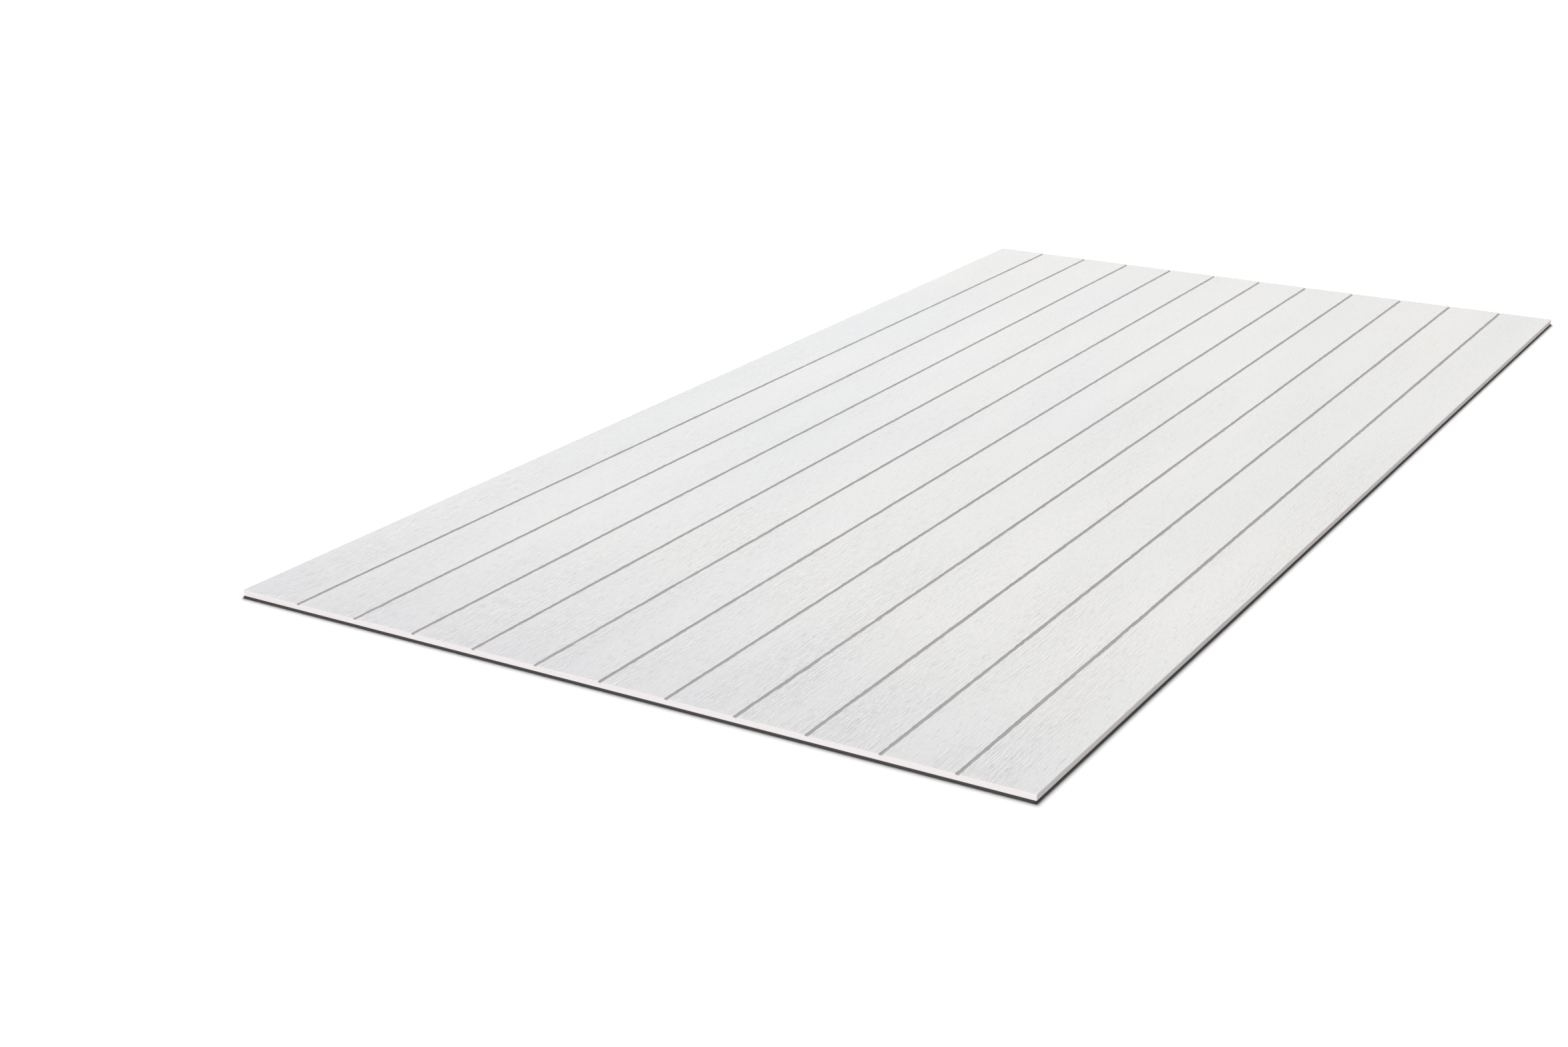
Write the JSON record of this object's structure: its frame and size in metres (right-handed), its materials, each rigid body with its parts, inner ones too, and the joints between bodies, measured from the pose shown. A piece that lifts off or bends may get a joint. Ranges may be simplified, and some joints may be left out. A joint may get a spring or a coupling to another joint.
{
  "type": "grooved siding panel",
  "caption": "Thin rectangular plywood wall panel, twice as long as wide, with a wood-grain primed face and narrow flat-bottomed grooves running its full length.",
  "frame": {"origin": "centre of the flat back face, which is the underside as the panel lies", "axes": "+X across the panel's width, +Y along the grooves, +Z out of the grooved face"},
  "size_m": [1.2192, 2.4384, 0.0088],
  "materials": {
    "primed_face": "white primer over brushed wood grain, satin",
    "groove_primer": "grey primer, matte",
    "sealed_edge": "white sealed edge, matte",
    "back_veneer": "bare softwood veneer, sanded",
    "patch_veneer": "bare softwood veneer, sanded"
  },
  "bodies": {
    "root": {"face_strip_01": "primed_face", "face_strip_02": "primed_face", "face_strip_03": "primed_face", "face_strip_04": "primed_face", "face_strip_05": "primed_face", "face_strip_06": "primed_face", "face_strip_07": "primed_face", "face_strip_08": "primed_face", "face_strip_09": "primed_face", "face_strip_10": "primed_face", "face_strip_11": "primed_face", "face_strip_12": "primed_face", "upper_crossband_front": "groove_primer", "upper_crossband_rear": "groove_primer", "core_veneer_left": "sealed_edge", "core_veneer_right": "sealed_edge", "lower_crossband_front": "sealed_edge", "lower_crossband_rear": "sealed_edge", "back_veneer": "back_veneer", "back_patch_1": "patch_veneer", "back_patch_2": "patch_veneer", "back_patch_3": "patch_veneer", "back_patch_4": "patch_veneer", "back_patch_5": "patch_veneer"}
  },
  "joints": []
}
